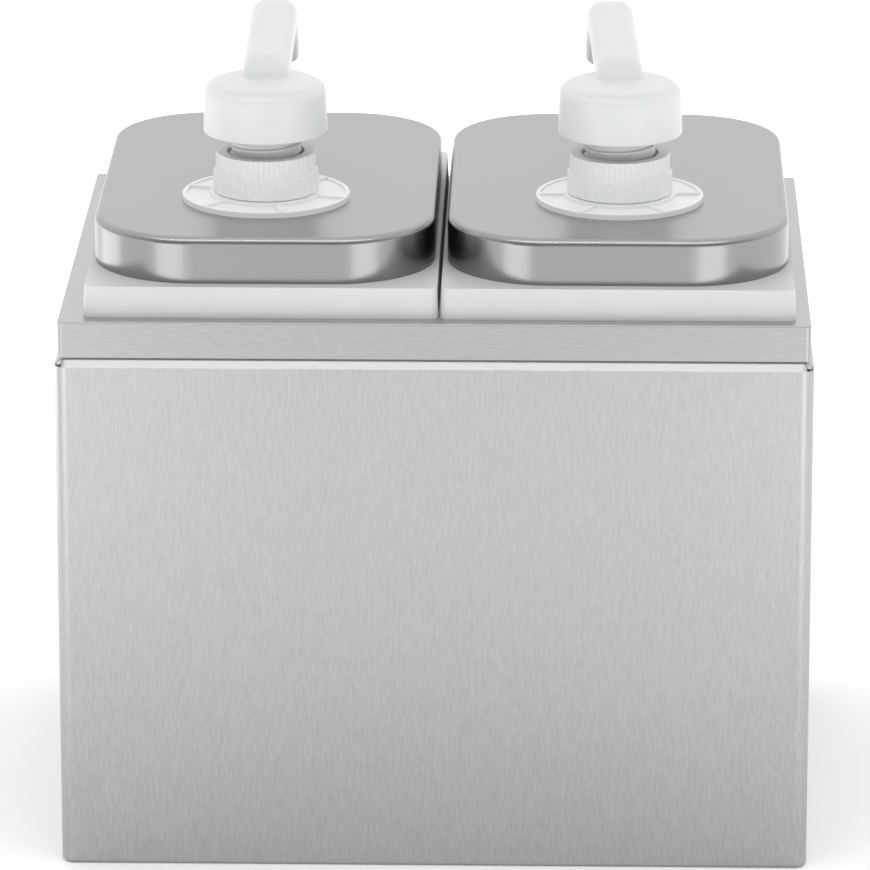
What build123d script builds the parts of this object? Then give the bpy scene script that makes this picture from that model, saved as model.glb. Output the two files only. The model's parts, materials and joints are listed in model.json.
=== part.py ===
# Twin pump sauce dispenser: a steel housing that holds two tubs, each with a lid and a hand pump.
# Sizes are millimetres. The origin is on the underside, in the middle of the housing.
# +X is to the right, +Y to the rear and +Z up. The spouts are turned to the rear.
from build123d import *
from math import atan, cos, degrees, pi, radians, sin, sqrt, tan
import os

os.makedirs("parts", exist_ok=True)

# Tub flanges and the ledge that the frame leaves round them
flange_width = 127.7
flange_depth = 196.0
flange_height = 11.3
flange_draft = 0.5
flange_corner = 3.5
flange_wall = 2.2
flange_plate = 2.6
flange_gap = 0.5
side_ledge = 7.05
end_ledge = 6.5
row_shift = 1.8

# Housing sheet metal
housing_height = 206.0
steel_sheet = 1.0
frame_skirt = 13.2
frame_corner = 1.8
body_overhang = 1.35
lip_play = 0.4
bevel_height = 3.4
base_flange = 14.0
back_return = 13.0
panel_gap = 0.3
corner_notch = 1.5

# Tubs
side_bearing = 3.1
end_bearing = 5.7
tub_play = 0.45
tub_wall = 2.2
tub_floor = 2.5
tub_corner = 30.0
tub_foot_height = 20.0
tub_draft_angle = 1.0
tub_foot_chamfer = 5.0
rim_height = 10.0
rim_wall = 2.0
rim_play = 0.6

# Lids
lid_side_inset = 1.45
lid_end_inset = 4.7
lid_height = 17.0
lid_corner = 37.0
lid_sheet = 0.8
lid_edge_radius = 2.5
lid_hole_play = 0.3

# Flange and neck that carry the pump on the lid
pump_setback = 63.0
pump_outset = 0.6
disc_radius = 30.6
disc_thickness = 1.4
bead_width = 1.6
bead_height = 0.5
boss_step = 3.7
boss_height = 1.4
neck_wall = 0.9
spigot_wall = 1.6
spigot_length = 8.0
rib_count = 6
rib_width = 1.6
rib_height = 0.9
lid_gasket_thickness = 1.2
lid_gasket_width = 6.2
nut_height = 6.0
nut_rim = 8.0
nut_play = 0.15

# Screw collar
collar_gap = 0.3
collar_height = 14.6
collar_plate = 1.6
collar_bore_play = 0.3
collar_wall = 0.9
opening_play = 1.95
fine_rib = 0.35
band_height = 7.4
band_step = 0.8
band_rib = 0.45
collar_rib_count = 60

# Pump cylinder, its lock sleeve and its neck gasket
running_gap = 0.1
sleeve_flange = 1.5
sleeve_wall = 1.2
sleeve_length = 18.0
seal_thickness = 1.0
cylinder_flange = 1.2
cylinder_bore = 14.5
cylinder_wall = 1.2
cylinder_play = 0.2
flange_play = 0.4
valve_bore = 6.2
valve_wall = 1.5
valve_depth = 9.8
valve_seat_bore = 3.4
valve_throat = 1.4
socket_depth = 12.0
cage_ring = 1.7
cage_thickness = 1.4
cage_skirt = 1.0
inlet_ball_play = 1.2
ball_lift = 0.15

# Plunger
stroke = 19.0
stop_gap = 0.3
piston_height = 9.5
piston_lip = 1.25
piston_web = 2.5
piston_hub_wall = 2.6
piston_hub_height = 6.0
piston_play = 0.05
stem_radius = 5.4
stem_wall = 2.6
stem_foot_radius = 8.0
stem_foot_height = 2.0
outlet_wall = 1.1
outlet_depth = 9.0
outlet_ball_play = 0.4

# Return spring
spring_length = 36.8
spring_play = 2.3
wire_radius = 0.7
wire_sides = 6
spring_turns = 5
spring_seat_gap = 0.2

# Head
cap_gap = 7.5
cap_ceiling = 6.2
cap_play = 1.75
cap_taper = 0.6
cap_crown = 2.0
cap_edge = 0.5
cap_shoulder = 4.5
cap_wall = 1.7
pocket_clearance = 1.6
shank_play = 0.9
shank_wall = 1.8
shank_drop = 11.5
socket_wall = 1.9
socket_play = 0.05
stem_reach = 4.5
spout_width = 17.0
spout_height = 15.0
spout_corner = 5.6
spout_rise_angle = 4.6
spout_line_drop = 1.0
spout_elbow = 11.0
spout_bend_radius = 20.0
spout_bend_angle = 65.0
spout_reach = 92.0
spout_tip = 6.0
spout_root_radius = 1.2
duct_radius = 3.5

# Dip tube
dip_tube_radius = 5.5
dip_tube_wall = 1.4
dip_tube_foot_gap = 7.5
dip_tube_play = 0.05

# Sides: name, direction along X, turn of the disc's ribs and turn of the spout
sides = [("left", -1, -16.0, 0.0), ("right", 1, 2.0, 2.6)]

# Plan sizes that follow
frame_width = 2 * flange_width + flange_gap + 2 * side_ledge
frame_depth = flange_depth + 2 * end_ledge
bevel_inset = body_overhang + steel_sheet + lip_play
body_width = frame_width + 2 * body_overhang
body_depth = frame_depth + 2 * body_overhang
tub_pitch = flange_width + flange_gap
well_width = flange_width - 2 * side_bearing
well_depth = flange_depth - 2 * end_bearing
tub_width = well_width - 2 * (row_shift + tub_play)
tub_depth = well_depth - 2 * (row_shift + tub_play)
lid_width = flange_width - 2 * (flange_draft + lid_side_inset)
lid_depth = flange_depth - 2 * (flange_draft + lid_end_inset)
rim_width = lid_width - 2 * (lid_sheet + rim_play)
rim_depth = lid_depth - 2 * (lid_sheet + rim_play)
rim_corner = lid_corner - lid_sheet - rim_play
pump_y = -flange_depth / 2 + pump_setback
return_centre = body_width / 2 - steel_sheet - back_return / 2
notch_x = body_width / 2 - bevel_inset / 2
notch_y = -body_depth / 2 + bevel_inset / 2

# Heights of the housing that follow
skirt_foot = housing_height - frame_skirt
bevel_foot = skirt_foot - bevel_height
base_plate_top = 2 * steel_sheet
flange_top = housing_height + flange_height
lid_top = flange_top + lid_height

# Heights of the pump that follow, from the lid up
disc_top = lid_top + disc_thickness
boss_top = disc_top + boss_height
collar_foot = boss_top + collar_gap
collar_top = collar_foot + collar_height
sleeve_top = collar_top - collar_plate - running_gap
cylinder_top = sleeve_top - sleeve_flange
seal_top = cylinder_top - cylinder_flange
neck_top = seal_top - seal_thickness
cap_foot = collar_top + cap_gap
pocket_top = collar_top + stroke + pocket_clearance
cap_top = pocket_top + cap_ceiling
shank_foot = cap_foot - shank_drop
stem_top = cap_foot + stem_reach

# Heights of the pump that follow, from the sleeve down
sleeve_foot = sleeve_top - sleeve_length
piston_top = sleeve_foot - stop_gap
piston_seat = piston_top - piston_hub_height
web_foot = piston_seat + (piston_hub_height - piston_web) / 2
stem_foot = piston_seat - stem_foot_height
spring_top = web_foot - spring_seat_gap
chamber_floor = spring_top - spring_length - spring_seat_gap
valve_shelf = chamber_floor - valve_depth - valve_throat
seat_edge = valve_shelf + valve_throat
dip_tube_foot = tub_foot_height + tub_floor + dip_tube_foot_gap

# Radii of the pump that follow, from the cylinder's bore outward
cylinder_radius = cylinder_bore + cylinder_wall
neck_bore = cylinder_radius + cylinder_play
neck_radius = neck_bore + neck_wall
spigot_radius = neck_bore + spigot_wall
boss_radius = neck_radius + boss_step
nut_radius = spigot_radius + nut_rim
collar_bore = neck_radius + collar_bore_play
collar_radius = collar_bore + collar_wall
flange_reach = collar_bore - flange_play
cap_foot_radius = collar_radius + band_step + band_rib + cap_play + cap_wall
cap_top_radius = cap_foot_radius - cap_taper

# Radii of the pump that follow, from the cylinder's bore inward
sleeve_bore = cylinder_bore - running_gap - sleeve_wall
shank_radius = sleeve_bore - shank_play
collar_opening = shank_radius + opening_play
piston_radius = cylinder_bore - piston_play
lip_bore = piston_radius - piston_lip
spring_radius = lip_bore - spring_play - wire_radius
socket_bore = stem_radius + socket_play
stem_bore = stem_radius - stem_wall
outlet_bore = stem_radius - outlet_wall
outlet_ball_radius = outlet_bore - outlet_ball_play
valve_radius = valve_bore + valve_wall
cage_bore = valve_bore - running_gap - cage_ring
inlet_ball_radius = valve_bore - inlet_ball_play


def save(piece, name):
    """Label a finished piece and write it under its own name."""
    piece.part.label = name
    export_step(piece.part, f"parts/{name}.step")


def pump_plane(x, height, turn=0.0):
    """Level plane on a pump's axis, with its own Y turned by an angle from the rear."""
    angle = radians(turn)
    return Plane(origin=(x, pump_y, height), x_dir=(cos(angle), sin(angle), 0), z_dir=(0, 0, 1))


def radial_plane(x):
    """Upright plane on a pump's axis, for profiles given as radius and height."""
    return Plane(origin=(x, pump_y, 0), x_dir=(1, 0, 0), z_dir=(0, -1, 0))


def pump_axis(x):
    return Axis((x, pump_y, 0), (0, 0, 1))


def make_housing_shell():
    """Wrapped sheet body with a folded bevel, an upright lip and a flange under it."""
    bevel_angle = degrees(atan(bevel_inset / bevel_height))
    lip_width = body_width - 2 * bevel_inset
    lip_depth = body_depth - 2 * bevel_inset
    corner = frame_corner + bevel_inset
    with BuildPart() as housing_shell:
        with BuildSketch(Plane.XY):
            RectangleRounded(body_width, body_depth, corner)
        extrude(amount=bevel_foot)
        with BuildSketch(Plane.XY.offset(bevel_foot)):
            RectangleRounded(body_width, body_depth, corner)
        extrude(amount=bevel_height, taper=bevel_angle)
        with BuildSketch(Plane.XY.offset(skirt_foot)):
            RectangleRounded(lip_width, lip_depth, frame_corner)
        extrude(amount=frame_skirt - steel_sheet)
        fillet(housing_shell.faces().sort_by(Axis.Z)[0].edges(), frame_corner)
        offset(amount=-steel_sheet, openings=housing_shell.faces().sort_by(Axis.Z)[-1])
        # Open bottom inside the flange
        with BuildSketch(Plane.XY):
            Rectangle(body_width - 2 * base_flange, body_depth - 2 * base_flange)
        extrude(amount=2 * steel_sheet, mode=Mode.SUBTRACT)
        # Open rear, for the back panel
        with BuildSketch(Plane.XZ.offset(-body_depth / 2)):
            with Locations((0, (base_plate_top + bevel_foot) / 2)):
                Rectangle(body_width - 2 * corner, bevel_foot - base_plate_top)
        extrude(amount=steel_sheet, mode=Mode.SUBTRACT)
        # Returns that the back panel is fixed to
        return_plane = Plane(origin=(0, body_depth / 2 - steel_sheet, 0), x_dir=(1, 0, 0), z_dir=(0, -1, 0))
        with BuildSketch(return_plane):
            with Locations((-return_centre, (steel_sheet + bevel_foot) / 2),
                           (return_centre, (steel_sheet + bevel_foot) / 2)):
                Rectangle(back_return + steel_sheet, bevel_foot - steel_sheet)
        extrude(amount=steel_sheet)
        # Relief notches at the front corners of the bevel
        with BuildSketch(Plane.XY.offset(bevel_foot)):
            with Locations((-notch_x, notch_y), (notch_x, notch_y)):
                Circle(corner_notch)
        extrude(amount=bevel_height, mode=Mode.SUBTRACT)
    save(housing_shell, "housing_shell")


def make_back_panel():
    """Flat rear sheet, fixed to the two returns of the shell."""
    with BuildPart() as back_panel:
        with BuildSketch(Plane.XZ.offset(-body_depth / 2)):
            with Locations((0, (base_plate_top + bevel_foot) / 2)):
                Rectangle(body_width - 2 * (frame_corner + bevel_inset + panel_gap),
                          bevel_foot - base_plate_top - 2 * panel_gap)
        extrude(amount=steel_sheet)
    save(back_panel, "back_panel")


def make_base_plate():
    """Floor of the housing, on top of the shell's inward flange."""
    plate_width = body_width - 2 * (steel_sheet + frame_corner + panel_gap)
    plate_depth = body_depth - 2 * (2 * steel_sheet + frame_corner + panel_gap)
    with BuildPart() as base_plate:
        with BuildSketch(Plane.XY.offset(steel_sheet)):
            Rectangle(plate_width, plate_depth)
        extrude(amount=steel_sheet)
    save(base_plate, "base_plate")


def make_top_frame():
    """Cap of the housing with a skirt all round and a well for each tub."""
    with BuildPart() as top_frame:
        with BuildSketch(Plane.XY.offset(skirt_foot)):
            RectangleRounded(frame_width, frame_depth, frame_corner)
        extrude(amount=frame_skirt)
        fillet(top_frame.faces().sort_by(Axis.Z)[-1].edges(), steel_sheet / 2)
        with BuildSketch(Plane.XY.offset(skirt_foot)):
            RectangleRounded(frame_width - 2 * steel_sheet, frame_depth - 2 * steel_sheet,
                             frame_corner - steel_sheet)
        extrude(amount=frame_skirt - steel_sheet, mode=Mode.SUBTRACT)
        with BuildSketch(Plane.XY.offset(housing_height)):
            with Locations((-tub_pitch / 2, 0), (tub_pitch / 2, 0)):
                RectangleRounded(well_width, well_depth, tub_corner + row_shift + tub_play)
        extrude(amount=-2 * steel_sheet, mode=Mode.SUBTRACT)
    save(top_frame, "top_frame")


def make_container(name, x):
    """Moulded tub: a square flange with a skirt, a round cornered rim and a deep drafted body."""
    flange_angle = degrees(atan(flange_draft / flange_height))
    plate_foot = flange_top - flange_plate
    tub_height = flange_top - tub_foot_height
    with BuildPart() as cavity:
        with BuildSketch(Plane((x, 0, flange_top))):
            RectangleRounded(tub_width - 2 * tub_wall, tub_depth - 2 * tub_wall, tub_corner - tub_wall)
        extrude(amount=tub_floor - tub_height, taper=tub_draft_angle)
        chamfer(cavity.faces().sort_by(Axis.Z)[0].edges(), tub_foot_chamfer)
        with BuildSketch(Plane((x, 0, flange_top))):
            RectangleRounded(rim_width - 2 * rim_wall, rim_depth - 2 * rim_wall, rim_corner - rim_wall)
        extrude(amount=2 * rim_height)
    with BuildPart() as body:
        with BuildSketch(Plane((x, 0, flange_top))):
            RectangleRounded(tub_width, tub_depth, tub_corner)
        extrude(amount=-tub_height, taper=tub_draft_angle)
        chamfer(body.faces().sort_by(Axis.Z)[0].edges(), tub_foot_chamfer + tub_wall / 2)
    with BuildPart() as container:
        with BuildSketch(Plane((x, 0, housing_height))):
            RectangleRounded(flange_width, flange_depth, flange_corner)
        extrude(amount=flange_height, taper=flange_angle)
        # Hollow under the flange plate
        with BuildSketch(Plane((x, 0, housing_height))):
            RectangleRounded(flange_width - 2 * flange_wall, flange_depth - 2 * flange_wall, flange_corner)
        extrude(amount=plate_foot - housing_height, taper=flange_angle, mode=Mode.SUBTRACT)
        # Rim that the lid fits over
        with BuildSketch(Plane((x, 0, flange_top))):
            RectangleRounded(rim_width, rim_depth, rim_corner)
        extrude(amount=rim_height)
        chamfer(container.faces().sort_by(Axis.Z)[-1].edges(), rim_wall / 4)
        add(body.part)
        add(cavity.part, mode=Mode.SUBTRACT)
    save(container, name)


def make_lid(name, x, hole_x):
    """Deep drawn steel lid with big plan corners and a hole for the pump."""
    with BuildPart() as lid:
        with BuildSketch(Plane((x, 0, flange_top))):
            RectangleRounded(lid_width, lid_depth, lid_corner)
        extrude(amount=lid_height)
        fillet(lid.faces().sort_by(Axis.Z)[-1].edges(), lid_edge_radius)
        offset(amount=-lid_sheet, openings=lid.faces().sort_by(Axis.Z)[0])
        with BuildSketch(pump_plane(hole_x, lid_top)):
            Circle(spigot_radius + lid_hole_play)
        extrude(amount=-2 * lid_sheet, mode=Mode.SUBTRACT)
    save(lid, name)


def make_pump_flange(name, x, turn):
    """Disc on the lid, with a boss, radial ribs, a threaded neck and a spigot through the lid."""
    bead_top = disc_top + bead_height
    with BuildPart() as pump_flange:
        with BuildSketch(radial_plane(x)):
            Polygon((neck_bore, lid_top - lid_sheet - spigot_length), (spigot_radius, lid_top - lid_sheet - spigot_length),
                    (spigot_radius, lid_top), (disc_radius, lid_top), (disc_radius, bead_top),
                    (disc_radius - bead_width, bead_top), (disc_radius - bead_width, disc_top),
                    (boss_radius, disc_top), (boss_radius, boss_top), (neck_radius, boss_top),
                    (neck_radius, neck_top), (neck_bore, neck_top), align=None)
        revolve(axis=pump_axis(x))
        with BuildSketch(pump_plane(x, disc_top, turn)):
            rib_length = disc_radius - bead_width - boss_radius
            with PolarLocations(boss_radius + rib_length / 2, rib_count):
                Rectangle(rib_length + bead_width, rib_width)
        extrude(amount=rib_height)
    save(pump_flange, name)


def make_lid_gasket(name, x):
    """Soft ring between the lid and the nut under it."""
    with BuildPart() as lid_gasket:
        with BuildSketch(pump_plane(x, lid_top - lid_sheet - lid_gasket_thickness)):
            Circle(spigot_radius + lid_hole_play + lid_gasket_width)
            Circle(spigot_radius + lid_hole_play, mode=Mode.SUBTRACT)
        extrude(amount=lid_gasket_thickness)
    save(lid_gasket, name)


def make_lid_nut(name, x):
    """Eight sided nut that clamps the pump flange to the lid."""
    with BuildPart() as lid_nut:
        with BuildSketch(pump_plane(x, lid_top - lid_sheet - lid_gasket_thickness - nut_height)):
            RegularPolygon(nut_radius, 8)
            Circle(spigot_radius + nut_play, mode=Mode.SUBTRACT)
        extrude(amount=nut_height)
    save(lid_nut, name)


def make_collar(name, x):
    """Screw collar: fine ribs above, a wider band of strong ribs below, and an opening for the shank."""
    with BuildPart() as collar:
        with BuildSketch(pump_plane(x, collar_foot)):
            Circle(collar_radius)
            with PolarLocations(collar_radius, collar_rib_count):
                Rectangle(sqrt(2) * fine_rib, sqrt(2) * fine_rib, rotation=45)
        extrude(amount=collar_height - fine_rib)
        with BuildSketch(pump_plane(x, collar_foot)):
            Circle(collar_radius)
        extrude(amount=collar_height)
        with BuildSketch(pump_plane(x, collar_foot)):
            Circle(collar_radius + band_step)
            with PolarLocations(collar_radius + band_step, collar_rib_count):
                Rectangle(sqrt(2) * band_rib, sqrt(2) * band_rib, rotation=45)
        extrude(amount=band_height)
        with BuildSketch(pump_plane(x, collar_foot)):
            Circle(collar_bore)
        extrude(amount=collar_height - collar_plate, mode=Mode.SUBTRACT)
        with BuildSketch(pump_plane(x, collar_top)):
            Circle(collar_opening)
        extrude(amount=-2 * collar_plate, mode=Mode.SUBTRACT)
    save(collar, name)


def make_neck_gasket(name, x):
    """Soft ring between the neck and the flange of the pump cylinder."""
    with BuildPart() as neck_gasket:
        with BuildSketch(pump_plane(x, neck_top)):
            Circle(neck_radius)
            Circle(neck_bore, mode=Mode.SUBTRACT)
        extrude(amount=seal_thickness)
    save(neck_gasket, name)


def make_lock_sleeve(name, x):
    """Sleeve at the top of the cylinder: it guides the shank and stops the piston."""
    with BuildPart() as lock_sleeve:
        with BuildSketch(radial_plane(x)):
            Polygon((sleeve_bore, sleeve_foot), (cylinder_bore - running_gap, sleeve_foot),
                    (cylinder_bore - running_gap, cylinder_top), (flange_reach, cylinder_top),
                    (flange_reach, sleeve_top), (sleeve_bore, sleeve_top), align=None)
        revolve(axis=pump_axis(x))
    save(lock_sleeve, name)


def make_cylinder(name, x):
    """Pump barrel with a flange on top, an inlet valve seat and a socket for the dip tube."""
    tube_bore = dip_tube_radius + dip_tube_play
    barrel_foot = chamber_floor - cylinder_wall
    cone_height = valve_bore - valve_seat_bore
    with BuildPart() as cylinder:
        with BuildSketch(radial_plane(x)):
            Polygon((cylinder_bore, cylinder_top), (flange_reach, cylinder_top), (flange_reach, seal_top),
                    (cylinder_radius, seal_top), (cylinder_radius, barrel_foot), (valve_radius, barrel_foot),
                    (valve_radius, valve_shelf - socket_depth), (tube_bore, valve_shelf - socket_depth),
                    (tube_bore, valve_shelf), (valve_seat_bore, valve_shelf), (valve_seat_bore, seat_edge),
                    (valve_bore, seat_edge + cone_height), (valve_bore, chamber_floor),
                    (cylinder_bore, chamber_floor), align=None)
        revolve(axis=pump_axis(x))
    save(cylinder, name)


def make_valve_cage(name, x):
    """Ring pressed on the inlet valve that keeps its ball in."""
    plug_radius = valve_bore - running_gap
    with BuildPart() as valve_cage:
        with BuildSketch(radial_plane(x)):
            Polygon((cage_bore, chamber_floor - cage_skirt), (plug_radius, chamber_floor - cage_skirt),
                    (plug_radius, chamber_floor), (valve_radius, chamber_floor),
                    (valve_radius, chamber_floor + cage_thickness), (cage_bore, chamber_floor + cage_thickness),
                    align=None)
        revolve(axis=pump_axis(x))
    save(valve_cage, name)


def make_dip_tube(name, x):
    """Tube from the inlet valve to just above the tub's floor."""
    with BuildPart() as dip_tube:
        with BuildSketch(pump_plane(x, dip_tube_foot)):
            Circle(dip_tube_radius)
            Circle(dip_tube_radius - dip_tube_wall, mode=Mode.SUBTRACT)
        extrude(amount=valve_shelf - dip_tube_foot)
    save(dip_tube, name)


def make_stem(name, x):
    """Hollow stem with a foot under the piston and a valve chamber at its top."""
    chamber_foot = stem_top - outlet_depth
    with BuildPart() as stem:
        with BuildSketch(radial_plane(x)):
            Polygon((stem_bore, stem_foot), (stem_foot_radius, stem_foot), (stem_foot_radius, piston_seat),
                    (stem_radius, piston_seat), (stem_radius, stem_top), (outlet_bore, stem_top),
                    (outlet_bore, chamber_foot + outlet_bore - stem_bore), (stem_bore, chamber_foot), align=None)
        revolve(axis=pump_axis(x))
    save(stem, name)


def make_piston(name, x):
    """Piston with a hub on the stem, a web and a lip that runs in the cylinder."""
    hub_bore = stem_radius + piston_play
    hub_radius = hub_bore + piston_hub_wall
    web_top = web_foot + piston_web
    with BuildPart() as piston:
        with BuildSketch(radial_plane(x)):
            Polygon((hub_bore, piston_seat), (hub_radius, piston_seat), (hub_radius, web_foot), (lip_bore, web_foot),
                    (lip_bore, piston_top - piston_height), (piston_radius, piston_top - piston_height),
                    (piston_radius, piston_top), (lip_bore, piston_top), (lip_bore, web_top),
                    (hub_radius, web_top), (hub_radius, piston_top), (hub_bore, piston_top), align=None)
        revolve(axis=pump_axis(x))
    save(piston, name)


def make_ball(name, x, radius, seat_height, seat_radius):
    """Check ball, just clear of the edge that it rests on."""
    centre = seat_height + sqrt(radius ** 2 - seat_radius ** 2) + ball_lift
    with BuildPart() as ball:
        with BuildSketch(radial_plane(x)):
            with BuildLine():
                CenterArc((0, centre), radius, -90, 180)
                Line((0, centre + radius), (0, centre - radius))
            make_face()
        revolve(axis=pump_axis(x))
    save(ball, name)


def helix_point(x, foot, pitch, half):
    """Point and direction on the spring's helix after a number of half turns."""
    angle = half * pi
    point = Vector(x + spring_radius * cos(angle), pump_y + spring_radius * sin(angle), foot + pitch * half / 2)
    direction = Vector(-spring_radius * sin(angle), spring_radius * cos(angle), pitch / (2 * pi)).normalized()
    return point, direction


def make_spring(name, x):
    """Return spring: one wire along a helix, each half turn a pair of tangent arcs."""
    foot = chamber_floor + spring_seat_gap + wire_radius
    pitch = (spring_length - 2 * wire_radius) / spring_turns
    with BuildPart() as spring:
        with BuildLine() as wire_line:
            for half in range(2 * spring_turns):
                start, leave = helix_point(x, foot, pitch, half)
                end, arrive = helix_point(x, foot, pitch, half + 1)
                # Equal tangent lengths at both ends, so that the two arcs meet smoothly
                chord = end - start
                a = 2 * (leave.dot(arrive) - 1)
                b = -2 * chord.dot(leave + arrive)
                reach = (-b - sqrt(b * b - 4 * a * chord.dot(chord))) / (2 * a)
                first = start + leave * reach
                second = end - arrive * reach
                middle = (first + second) * 0.5
                TangentArc(start, middle, tangent=leave)
                TangentArc(middle, end, tangent=second - first)
        with BuildSketch(Plane(origin=wire_line.line @ 0, z_dir=wire_line.line % 0)):
            RegularPolygon(wire_radius, wire_sides)
        sweep(path=wire_line.line)
    save(spring, name)


def make_head(name, x, turn):
    """Hollow cap with a shank, a socket on the stem and a ducted spout that bends down at its end."""
    angle = radians(turn)
    lateral = (cos(angle), sin(angle), 0)
    outward = (-sin(angle), cos(angle), 0)
    spout_plane = Plane(origin=(x, pump_y, 0), x_dir=outward, z_dir=lateral)
    line_start = cap_top - spout_line_drop
    # Corner of the spout's line, where the long rise turns down into the tip
    fall = radians(spout_bend_angle)
    rise = radians(spout_rise_angle)
    tangent_length = spout_bend_radius * tan((rise + fall) / 2)
    tip_run = (tangent_length + spout_tip) * cos(fall)
    corner = Vector(spout_reach - tip_run, line_start + (spout_reach - tip_run) * tan(rise))
    tip = Vector(spout_reach, corner.Y - (tangent_length + spout_tip) * sin(fall))
    with BuildPart() as head:
        # Cap with a low crown
        with BuildSketch(radial_plane(x)):
            with BuildLine():
                FilletPolyline((0, cap_foot), (cap_foot_radius, cap_foot), (cap_top_radius, cap_top - cap_crown / 2),
                               (0, cap_top + cap_crown / 2), radius=[cap_edge, cap_shoulder])
                Line((0, cap_top + cap_crown / 2), (0, cap_foot))
            make_face()
        revolve(axis=pump_axis(x))
        # Spout, blended into the cap
        with BuildLine(spout_plane) as spout_line:
            FilletPolyline((0, stem_top), (0, line_start), (corner.X, corner.Y), (tip.X, tip.Y),
                           radius=[spout_elbow, spout_bend_radius])
        with BuildSketch(pump_plane(x, stem_top, turn)):
            RectangleRounded(spout_width, spout_height, spout_corner)
        sweep(path=spout_line.line)
        fillet(head.edges(Select.NEW), spout_root_radius)
        # Pocket under the cap, clear of the collar over the whole stroke
        with BuildSketch(radial_plane(x)):
            Polygon((0, cap_foot), (cap_foot_radius - cap_wall, cap_foot), (cap_top_radius - cap_wall, pocket_top),
                    (0, pocket_top), align=None)
        revolve(axis=pump_axis(x), mode=Mode.SUBTRACT)
        # Shank, hollow round the socket that grips the stem
        with BuildSketch(pump_plane(x, shank_foot)):
            Circle(shank_radius)
        extrude(amount=pocket_top - shank_foot)
        with BuildSketch(pump_plane(x, shank_foot)):
            Circle(shank_radius - shank_wall)
            Circle(socket_bore + socket_wall, mode=Mode.SUBTRACT)
            Circle(socket_bore)
        extrude(amount=stem_top - shank_foot, mode=Mode.SUBTRACT)
        # Duct from the socket to the spout's end
        with BuildSketch(pump_plane(x, stem_top)):
            Circle(duct_radius)
        sweep(path=spout_line.line, mode=Mode.SUBTRACT)
    save(head, name)


make_housing_shell()
make_back_panel()
make_base_plate()
make_top_frame()
for side, direction, rib_turn, spout_turn in sides:
    centre_x = direction * tub_pitch / 2 + row_shift
    pump_x = centre_x + direction * pump_outset
    make_container(f"{side}_container", centre_x)
    make_lid(f"{side}_lid", centre_x, pump_x)
    make_pump_flange(f"{side}_pump_flange", pump_x, rib_turn)
    make_lid_gasket(f"{side}_lid_gasket", pump_x)
    make_lid_nut(f"{side}_lid_nut", pump_x)
    make_collar(f"{side}_collar", pump_x)
    make_neck_gasket(f"{side}_neck_gasket", pump_x)
    make_lock_sleeve(f"{side}_lock_sleeve", pump_x)
    make_cylinder(f"{side}_cylinder", pump_x)
    make_valve_cage(f"{side}_valve_cage", pump_x)
    make_dip_tube(f"{side}_dip_tube", pump_x)
    make_stem(f"{side}_stem", pump_x)
    make_piston(f"{side}_piston", pump_x)
    make_spring(f"{side}_spring", pump_x)
    make_ball(f"{side}_inlet_ball", pump_x, inlet_ball_radius, seat_edge, valve_seat_bore)
    make_ball(f"{side}_outlet_ball", pump_x, outlet_ball_radius, stem_top - outlet_depth, stem_bore)
    make_head(f"{side}_head", pump_x, spout_turn)
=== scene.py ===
# Looks of the sauce dispenser: finishes, shank threads, springs, floor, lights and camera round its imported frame.
# Lengths are metres in the model's own frame: +X to the right, +Y to the rear and +Z up.
import json
import math

import bpy
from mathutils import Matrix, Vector


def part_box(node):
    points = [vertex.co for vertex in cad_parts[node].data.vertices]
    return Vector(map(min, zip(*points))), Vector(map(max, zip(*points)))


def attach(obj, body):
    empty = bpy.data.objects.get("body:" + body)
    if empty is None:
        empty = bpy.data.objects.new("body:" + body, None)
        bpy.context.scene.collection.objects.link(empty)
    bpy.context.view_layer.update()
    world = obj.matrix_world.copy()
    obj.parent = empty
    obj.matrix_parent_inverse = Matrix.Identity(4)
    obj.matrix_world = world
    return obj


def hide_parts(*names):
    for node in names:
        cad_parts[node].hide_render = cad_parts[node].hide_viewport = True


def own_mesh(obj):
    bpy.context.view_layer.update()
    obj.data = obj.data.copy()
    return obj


sides = ("left", "right")

# Camera
sensor_width = 36.0
focal_length = 276.1
view_target = Vector((-0.0018, 0.0, 0.1327))
view_distance = 2.506
view_elevation = 17.0
view_azimuth = -1.25
view_reach = 50.0

# Grain of the steels, as noise cells per metre across it and along it
grain_across = 2000.0
grain_along = 200.0
grain_fine = 1500.0
lengthways_grain = (grain_along, grain_across, grain_across)
upright_grain = (grain_across, grain_across, grain_along)
wrapped_grain = (grain_along, grain_along, grain_across)
even_grain = (grain_fine, grain_fine, grain_fine)
grain_detail = 4.0

# Steels: each pair is for level faces, then for upright ones. The grain follows each sheet; the two tones of one
# steel are painted light and shade, set apart by slope
steels = {
    "body_steel": {"tones_with_painted_slope_shade": (0.375, 0.415), "grains": (lengthways_grain, upright_grain),
                   "roughnesses": (0.34, 0.34), "spread": 0.12, "relief": 0.000002},
    "frame_steel": {"tones_with_painted_slope_shade": (0.55, 0.37), "grains": (lengthways_grain, wrapped_grain),
                    "roughnesses": (0.34, 0.34), "spread": 0.12, "relief": 0.000002},
    "lid_steel": {"tones_with_painted_slope_shade": (0.44, 0.265), "grains": (even_grain, even_grain),
                  "roughnesses": (0.34, 0.24), "spread": 0.03, "relief": 0.0000001},
    "spring_steel": {"tones_with_painted_slope_shade": (0.60, 0.60), "grains": (even_grain, even_grain),
                     "roughnesses": (0.25, 0.25), "spread": 0.03, "relief": 0.000001},
    "ball_steel": {"tones_with_painted_slope_shade": (0.70, 0.70), "grains": (even_grain, even_grain),
                   "roughnesses": (0.12, 0.12), "spread": 0.01, "relief": 0.0000001},
}

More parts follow.
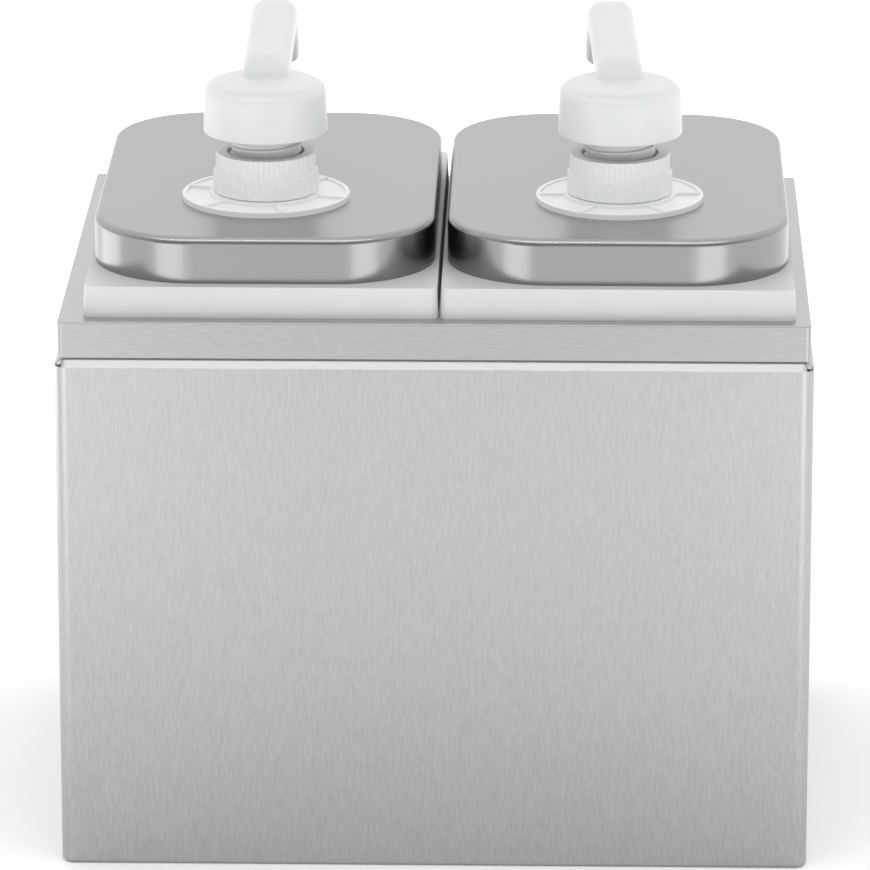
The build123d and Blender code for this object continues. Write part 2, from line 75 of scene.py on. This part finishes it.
# Plastics and rubber; the pump plastic's tone is set above the other whites as a painted fill light that lifts the
# shade round the collar and disc under the caps
plastics = {
    "tub_plastic": {"tone": 0.68, "roughness": 0.42},
    # Painted fill light: this white is made lighter to lift the shade round the collar and disc
    "pump_plastic": {"tone": 0.90, "roughness": 0.38},
    "head_plastic": {"tone": 0.75, "roughness": 0.34},
    "natural_plastic": {"tone": 0.68, "roughness": 0.40},
    "seal_rubber": {"tone": 0.62, "roughness": 0.60},
}
mottle_scale = 40.0
mottle_tint = (0.965, 0.968, 0.97)
mottle_roughness = 0.03
skin_scale = 2400.0
skin_relief = 0.00001
plastic_detail = 2.0

# Noise: how rough it is, and the range that it usually stays in
noise_roughness = 0.6
noise_low = 0.3
noise_high = 0.7

# Shank thread, between the collar and the cap that stands a gap above it
cap_gap = 0.0075
thread_root_radius = 0.0122
thread_crest_radius = 0.0130
thread_pitch = 0.0028
thread_root_width = 0.0019
thread_crest_width = 0.0007
thread_end_gap = 0.0006
thread_steps = 48

# Return spring
spring_wire_radius = 0.0007
spring_turns = 5
spring_steps = 32
spring_wire_sides = 12

# Floor, with a glow of its own that grows away from the object: painted light, dimmer near the object as a painted
# shade round it
floor_size = 12.0
floor_tone = 0.95
floor_roughness = 0.7
floor_glow_near = 0.13
floor_glow_far = 0.55
glow_near_edge = 0.20
glow_far_edge = 0.60

# Low upright cards round the front, and soft lights high in front and behind
card_distance = 0.60
card_forward = 0.10
card_width = 0.34
card_height = 0.16
card_angle = 36.0
side_card_angle = -112.0
card_power = 0.21
high_aim = (0.0, 0.0, 0.2)
strip_distance = 1.6
strip_elevation = 60.0
strip_width = 2.0
strip_height = 0.16
strip_power = 4.8
rear_box_distance = 1.9
rear_box_elevation = 30.0
rear_box_width = 3.0
rear_box_height = 0.5
rear_box_power = 5.5

# Brightness of the surroundings low in front, low behind and high up, and where one passes into the next
front_glow = 0.40
rear_glow = 1.04
high_glow = 0.92
front_edge = -0.8
rear_edge = 0.2
low_edge = 0.50
high_edge = 0.70


def box_centre(node):
    """Middle of a node's box at rest."""
    low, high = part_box(node)
    return (Vector(low) + Vector(high)) / 2


def new_material(name, tone, roughness, metallic=0.0):
    """Grey material with a Principled shader; returns it with its node tree's nodes, links and shader."""
    material = bpy.data.materials.new(name)
    material.use_nodes = True
    nodes = material.node_tree.nodes
    shader = nodes["Principled BSDF"]
    shader.inputs["Base Color"].default_value = (tone, tone, tone, 1.0)
    shader.inputs["Roughness"].default_value = roughness
    shader.inputs["Metallic"].default_value = metallic
    return material, nodes, material.node_tree.links, shader


def stretched_noise(nodes, links, scale, detail):
    """Noise over the object's own coordinates, with its own scale along each axis."""
    place = nodes.new("ShaderNodeTexCoord")
    mapping = nodes.new("ShaderNodeMapping")
    mapping.inputs["Scale"].default_value = scale
    noise = nodes.new("ShaderNodeTexNoise")
    noise.inputs["Scale"].default_value = 1.0
    noise.inputs["Detail"].default_value = detail
    noise.inputs["Roughness"].default_value = noise_roughness
    links.new(place.outputs["Object"], mapping.inputs["Vector"])
    links.new(mapping.outputs["Vector"], noise.inputs["Vector"])
    return noise.outputs["Fac"]


def by_slope(nodes, links, level, upright):
    """One value on level faces and another on upright ones."""
    geometry = nodes.new("ShaderNodeNewGeometry")
    split = nodes.new("ShaderNodeSeparateXYZ")
    size = nodes.new("ShaderNodeMath")
    size.operation = "ABSOLUTE"
    mix = nodes.new("ShaderNodeMix")
    links.new(geometry.outputs["Normal"], split.inputs["Vector"])
    links.new(split.outputs["Z"], size.inputs[0])
    links.new(size.outputs["Value"], mix.inputs["Factor"])
    links.new(upright, mix.inputs["A"])
    links.new(level, mix.inputs["B"])
    return mix.outputs["Result"]


def map_range(nodes, links, value, first, last, low, high):
    """A value that runs from low to high while another goes from first to last."""
    span = nodes.new("ShaderNodeMapRange")
    span.inputs["From Min"].default_value = first
    span.inputs["From Max"].default_value = last
    span.inputs["To Min"].default_value = low
    span.inputs["To Max"].default_value = high
    links.new(value, span.inputs["Value"])
    return span.outputs["Result"]


def between(nodes, links, noise, low, high):
    """A value that runs from low to high as a noise goes through its usual range."""
    return map_range(nodes, links, noise, noise_low, noise_high, low, high)


def add_bump(nodes, links, shader, value, distance):
    """Fine relief from a value."""
    bump = nodes.new("ShaderNodeBump")
    bump.inputs["Distance"].default_value = distance
    bump.inputs["Strength"].default_value = 1.0
    links.new(value, bump.inputs["Height"])
    links.new(bump.outputs["Normal"], shader.inputs["Normal"])


def brushed_steel(name, tones_with_painted_slope_shade, grains, roughnesses, spread, relief):
    """Stainless sheet with a fine grain; each pair has a value for level faces and one for upright ones, and the two
    tones are painted light and shade by slope.
    """
    material, nodes, links, shader = new_material(name, tones_with_painted_slope_shade[1], roughnesses[1], metallic=1.0)
    grain = by_slope(nodes, links, *(stretched_noise(nodes, links, scale, grain_detail) for scale in grains))
    tone = [between(nodes, links, grain, (1 - spread) * tone, (1 + spread) * tone) for tone in tones_with_painted_slope_shade]
    rough = [between(nodes, links, grain, rough - spread / 2, rough + spread / 2) for rough in roughnesses]
    # Painted light and shade: level and upright faces of one steel get their own tones
    links.new(by_slope(nodes, links, *tone), shader.inputs["Base Color"])
    links.new(by_slope(nodes, links, *rough), shader.inputs["Roughness"])
    add_bump(nodes, links, shader, grain, relief)
    return material


def moulded_plastic(name, tone, roughness):
    """White moulded plastic with a faint mottle and a soft skin."""
    material, nodes, links, shader = new_material(name, tone, roughness)
    cloud = stretched_noise(nodes, links, (mottle_scale, mottle_scale, mottle_scale), plastic_detail)
    skin = stretched_noise(nodes, links, (skin_scale, skin_scale, skin_scale), plastic_detail)
    mottle = nodes.new("ShaderNodeMix")
    mottle.data_type = "RGBA"
    mottle.inputs["A"].default_value = (*(share * tone for share in mottle_tint), 1.0)
    mottle.inputs["B"].default_value = (tone, tone, tone, 1.0)
    links.new(between(nodes, links, cloud, 0.0, 1.0), mottle.inputs["Factor"])
    links.new(mottle.outputs["Result"], shader.inputs["Base Color"])
    rough = between(nodes, links, cloud, roughness - mottle_roughness, roughness + mottle_roughness)
    links.new(rough, shader.inputs["Roughness"])
    add_bump(nodes, links, shader, skin, skin_relief)
    return material


def paint_nodes():
    """Gives every node of the frame the finish of its slot in the record, and returns the finishes."""
    finishes = {slot: brushed_steel(f"{slot}_finish", **values) for slot, values in steels.items()}
    for slot, values in plastics.items():
        finishes[slot] = moulded_plastic(f"{slot}_finish", **values)
    for part in frame["record"]["subparts"]:
        shown = frame["nodes"][part["node"]]
        for place in shown.material_slots:
            place.material = finishes[part["material_slot"]]
    return finishes


def wind(name, centre, low, high, turns, turn_steps, section, material):
    """Piece that winds upwards round an upright axis; section gives its outline's radii and heights at a step."""
    steps = round(turns * turn_steps)
    points, faces = [], []
    for step in range(steps + 1):
        angle = 2 * math.pi * step / turn_steps
        height = low + (high - low) * step / steps
        outline = section(step, steps)
        for radius, offset in outline:
            points.append((centre.x + radius * math.cos(angle), centre.y + radius * math.sin(angle), height + offset))
    corners = len(outline)
    for step in range(steps):
        first, second = corners * step, corners * (step + 1)
        for corner in range(corners):
            following = (corner + 1) % corners
            faces.append((first + corner, first + following, second + following, second + corner))
    faces.append(tuple(reversed(range(corners))))
    faces.append(tuple(range(corners * steps, corners * (steps + 1))))
    mesh = bpy.data.meshes.new(name)
    mesh.from_pydata(points, [], faces)
    mesh.materials.append(material)
    piece = bpy.data.objects.new(name, mesh)
    bpy.context.scene.collection.objects.link(piece)
    return piece


def thread_section(step, steps):
    """Outline of the thread's ridge, which grows out of the shank over half a turn at each end."""
    grown = min(1.0, 2 * step / thread_steps, 2 * (steps - step) / thread_steps)
    crest_radius = thread_root_radius + (thread_crest_radius - thread_root_radius) * grown
    return ((thread_root_radius, -thread_root_width / 2), (crest_radius, -thread_crest_width / 2),
            (crest_radius, thread_crest_width / 2), (thread_root_radius, thread_root_width / 2))


def make_thread(side, material):
    """Thread on the shank of one head: one ridge that winds from the shank's foot up to the cap."""
    shank_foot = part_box(f"{side}_head")[0][2]
    cap_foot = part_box(f"{side}_collar")[1][2] + cap_gap
    low = shank_foot + thread_end_gap + thread_root_width / 2
    high = cap_foot - thread_end_gap - thread_root_width / 2
    turns = (high - low) / thread_pitch
    centre = box_centre(f"{side}_stem")
    thread = wind(f"{side}_shank_thread", centre, low, high, turns, thread_steps, thread_section, material)
    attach(thread, f"{side}_pump_head")


def make_spring(side, material):
    """Return spring of one pump: round wire that goes with the pump core in place of the spring part, which is
    hidden.
    """
    low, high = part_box(f"{side}_spring")
    centre = box_centre(f"{side}_spring")
    coil_radius = (high[0] - low[0]) / 2 - spring_wire_radius

    def wire_section(step, steps):
        angles = [2 * math.pi * corner / spring_wire_sides for corner in range(spring_wire_sides)]
        return [(coil_radius + spring_wire_radius * math.cos(angle), spring_wire_radius * math.sin(angle))
                for angle in angles]

    spring = wind(f"{side}_spring_wire", centre, low[2] + spring_wire_radius, high[2] - spring_wire_radius,
                  spring_turns, spring_steps, wire_section, material)
    for face in spring.data.polygons:
        face.use_smooth = True
    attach(spring, f"{side}_pump_core")
    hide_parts(f"{side}_spring")
    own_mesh(spring)


def make_floor():
    """Plain pale floor that glows a little, more so away from the object: a painted light whose dimming near the
    object is a painted shade.
    """
    half = floor_size / 2
    mesh = bpy.data.meshes.new("floor")
    mesh.from_pydata([(-half, -half, 0), (half, -half, 0), (half, half, 0), (-half, half, 0)], [], [(0, 1, 2, 3)])
    material, nodes, links, shader = new_material("floor_finish", floor_tone, floor_roughness)
    place = nodes.new("ShaderNodeTexCoord")
    reach = nodes.new("ShaderNodeVectorMath")
    reach.operation = "LENGTH"
    links.new(place.outputs["Object"], reach.inputs[0])
    # Painted light: the floor glows, less near the object as a painted shade
    glow = map_range(nodes, links, reach.outputs["Value"], glow_near_edge, glow_far_edge, floor_glow_near,
                     floor_glow_far)
    shader.inputs["Emission Color"].default_value = (1.0, 1.0, 1.0, 1.0)
    links.new(glow, shader.inputs["Emission Strength"])
    mesh.materials.append(material)
    floor = bpy.data.objects.new("floor", mesh)
    bpy.context.scene.collection.objects.link(floor)


def make_light(name, place, aim, width, height, power):
    """Soft rectangular light that the camera itself doesn't see."""
    data = bpy.data.lights.new(name, "AREA")
    data.shape = "RECTANGLE"
    data.size = width
    data.size_y = height
    data.energy = power
    light = bpy.data.objects.new(name, data)
    light.location = place
    light.rotation_euler = (Vector(aim) - Vector(place)).to_track_quat("-Z", "Y").to_euler()
    light.visible_camera = False
    bpy.context.scene.collection.objects.link(light)
    return light


def make_world():
    """Pale surroundings: bright low behind the object, darker in front and a little darker high up."""
    world = bpy.data.worlds.new("studio")
    world.use_nodes = True
    nodes, links = world.node_tree.nodes, world.node_tree.links
    direction = nodes.new("ShaderNodeTexCoord")
    split = nodes.new("ShaderNodeSeparateXYZ")
    links.new(direction.outputs["Generated"], split.inputs["Vector"])
    round_object = map_range(nodes, links, split.outputs["Y"], front_edge, rear_edge, front_glow, rear_glow)
    height = map_range(nodes, links, split.outputs["Z"], low_edge, high_edge, 0.0, 1.0)
    mix = nodes.new("ShaderNodeMix")
    mix.inputs["B"].default_value = high_glow
    links.new(height, mix.inputs["Factor"])
    links.new(round_object, mix.inputs["A"])
    nodes["Background"].inputs["Color"].default_value = (1.0, 1.0, 1.0, 1.0)
    links.new(mix.outputs["Result"], nodes["Background"].inputs["Strength"])
    bpy.context.scene.world = world


def high_place(distance, elevation, direction):
    """Place at a distance and an elevation, in front (-1) or behind (1)."""
    rise = math.radians(elevation)
    return (0, direction * distance * math.cos(rise), distance * math.sin(rise))


def make_lights():
    """Two upright cards in front, one at the left, a strip high in front and a wide soft box behind."""
    middle = card_height / 2
    for name, turn in (("left_card", -card_angle), ("right_card", card_angle), ("side_card", side_card_angle)):
        angle = math.radians(turn)
        place = (card_distance * math.sin(angle), -card_distance * math.cos(angle) - card_forward, middle)
        card = make_light(name, place, (0, 0, middle), card_width, card_height, card_power)
        # The card at the side shows in the steel, but leaves the white plastic evenly lit
        card.visible_diffuse = name != "side_card"
    strip_place = high_place(strip_distance, strip_elevation, -1)
    make_light("strip", strip_place, high_aim, strip_width, strip_height, strip_power)
    rear_place = high_place(rear_box_distance, rear_box_elevation, 1)
    rear_box = make_light("rear_box", rear_place, high_aim, rear_box_width, rear_box_height, rear_box_power)
    # It casts the soft shadow in front, but doesn't show in the lids
    rear_box.visible_glossy = False


def make_camera():
    """Camera at the photograph's angle."""
    elevation, azimuth = math.radians(view_elevation), math.radians(view_azimuth)
    forward = Vector((math.sin(azimuth) * math.cos(elevation), math.cos(azimuth) * math.cos(elevation),
                      -math.sin(elevation)))
    data = bpy.data.cameras.new("camera")
    data.sensor_width = sensor_width
    data.lens = focal_length
    data.clip_end = view_reach
    camera = bpy.data.objects.new("camera", data)
    camera.location = view_target - view_distance * forward
    camera.rotation_euler = forward.to_track_quat("-Z", "Y").to_euler()
    bpy.context.scene.collection.objects.link(camera)
    bpy.context.scene.camera = camera


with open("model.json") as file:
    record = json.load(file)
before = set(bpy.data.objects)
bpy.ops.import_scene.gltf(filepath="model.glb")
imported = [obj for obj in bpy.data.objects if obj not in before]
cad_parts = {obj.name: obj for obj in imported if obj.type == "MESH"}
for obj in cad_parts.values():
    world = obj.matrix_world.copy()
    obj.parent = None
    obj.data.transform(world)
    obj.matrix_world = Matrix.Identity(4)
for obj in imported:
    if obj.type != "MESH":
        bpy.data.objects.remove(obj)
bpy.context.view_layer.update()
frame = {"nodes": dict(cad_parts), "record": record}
make_camera()
finishes = paint_nodes()
for side in sides:
    make_thread(side, finishes["head_plastic"])
    make_spring(side, finishes["spring_steel"])
make_floor()
make_world()
make_lights()
bpy.context.scene.view_settings.view_transform = "Standard"
